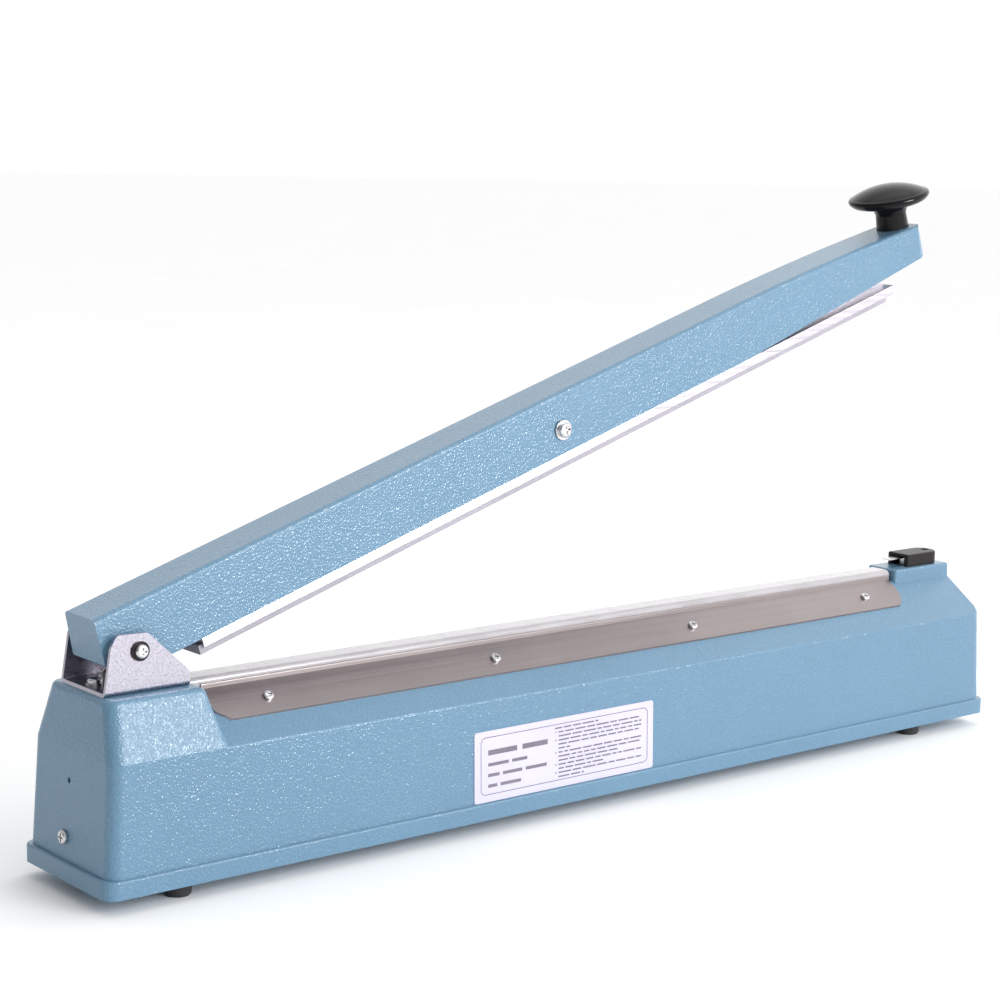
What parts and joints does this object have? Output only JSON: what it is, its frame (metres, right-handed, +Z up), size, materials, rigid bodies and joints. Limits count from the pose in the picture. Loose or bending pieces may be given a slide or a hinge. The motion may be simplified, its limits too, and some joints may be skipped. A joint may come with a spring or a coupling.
{
  "type": "impulse heat sealer",
  "caption": "Hand-operated bench sealer: a hinged arm with a silicone-faced jaw closes plastic bags on a heated bed over a long painted base with a timer dial.",
  "frame": {"origin": "on the surface it stands on, under the middle of its outer box; the seal bed is 4.8 mm in front of it, because the dial stands out behind", "axes": "+X along the sealer from the hinge to the handle end, -Y towards the label side, +Z up"},
  "size_m": [0.64, 0.0956, 0.3447],
  "materials": {
    "hammered_paint": "hammered light steel-blue enamel",
    "zinc_plate": "bright zinc plating",
    "stainless": "fine brushed",
    "screw_steel": "plated",
    "aluminium": "satin extrusion",
    "ptfe_glass_cloth": "coated woven glass cloth",
    "silicone": "matt silicone",
    "black_rubber": "matt",
    "knob_plastic": "glossy black",
    "black_plastic": "moulded",
    "brass": "turned",
    "nylon": "natural",
    "lamination": "varnished laminations",
    "winding": "varnished copper winding",
    "insulation": "sheet insulation",
    "circuit_board": "solder mask",
    "resistance_alloy": "nickel-chrome band",
    "label_foil": "printed label",
    "red_lens": "translucent red",
    "wire_insulation": "flexible insulation"
  },
  "bodies": {
    "base": {"base_housing": "hammered_paint", "bottom_tray": "hammered_paint", "rubber_feet": "black_rubber", "foot_screws": "screw_steel", "end_screws": "screw_steel", "seal_bed": "aluminium", "bed_insulator": "insulation", "heating_element": "resistance_alloy", "ptfe_cloth": "ptfe_glass_cloth", "front_plate": "stainless", "rear_plate": "stainless", "plate_screws": "screw_steel", "terminal_posts": "brass", "terminal_sleeves": "nylon", "hinge_bracket": "zinc_plate", "bracket_screws": "screw_steel", "bracket_washers": "screw_steel", "hinge_pin": "screw_steel", "hinge_screws": "screw_steel", "hinge_washers": "black_plastic", "hinge_spacers": "nylon", "return_spring": "screw_steel", "stop_bumper": "black_rubber", "switch_cap": "black_plastic", "cap_screw": "screw_steel", "lever_pin": "screw_steel", "microswitch_body": "black_plastic", "microswitch_bracket": "zinc_plate", "microswitch_screws": "screw_steel", "transformer_core": "lamination", "transformer_coil": "winding", "transformer_frame": "zinc_plate", "transformer_base": "insulation", "floor_screws": "screw_steel", "board_pillars": "nylon", "board_screws": "screw_steel", "timer_board": "circuit_board", "board_parts": "black_plastic", "timer_control": "zinc_plate", "dial_plate": "aluminium", "indicator_lamp": "red_lens", "fuse_holder": "black_plastic", "cord_inlet": "black_rubber", "rating_label": "label_foil", "wiring": "wire_insulation"},
    "arm": {"arm_shell": "hammered_paint", "spring_seat": "zinc_plate", "jaw_screw": "screw_steel", "jaw_washers": "screw_steel", "jaw_nut": "screw_steel", "handle_knob": "knob_plastic", "knob_stud": "screw_steel", "knob_washer": "screw_steel", "knob_nut": "screw_steel"},
    "jaw": {"jaw_bar": "aluminium", "silicone_strip": "silicone"},
    "dial": {"timer_dial": "black_plastic"},
    "lever": {"switch_lever": "screw_steel"},
    "plunger": {"microswitch_plunger": "nylon"}
  },
  "joints": [
    {"name": "arm_hinge", "type": "hinge", "parent": "base", "child": "arm", "pos_m": [-0.2888, -0.00477, 0.1229], "axis": [0, 1, 0], "range_deg": [0, 17.8], "stiffness_Nm_per_rad": 7, "springref_deg": -34.38, "deforming": ["return_spring"]},
    {"name": "jaw_rock", "type": "hinge", "parent": "arm", "child": "jaw", "pos_m": [-0.01882, -0.00477, 0.21105], "axis": [0, 1, 0], "range_deg": [-0.1, 0.1]},
    {"name": "dial_turn", "type": "hinge", "parent": "base", "child": "dial", "pos_m": [0.12, 0.03566, 0.046], "axis": [0, -0.9996, -0.027], "range_deg": [0, 270]},
    {"name": "lever_tilt", "type": "hinge", "parent": "base", "child": "lever", "pos_m": [0.296, -0.00477, 0.1054], "axis": [0, -1, 0], "range_deg": [0, 3.83]},
    {"name": "plunger_slide", "type": "slide", "parent": "base", "child": "plunger", "axis": [0, 0, -1], "range_m": [0, 0.00081]}
  ],
  "couplings": [
    {"joint": "lever_tilt", "follows": "arm_hinge", "ratio": 0.21461},
    {"joint": "plunger_slide", "follows": "arm_hinge", "m_per_rad": 0.0025751}
  ]
}
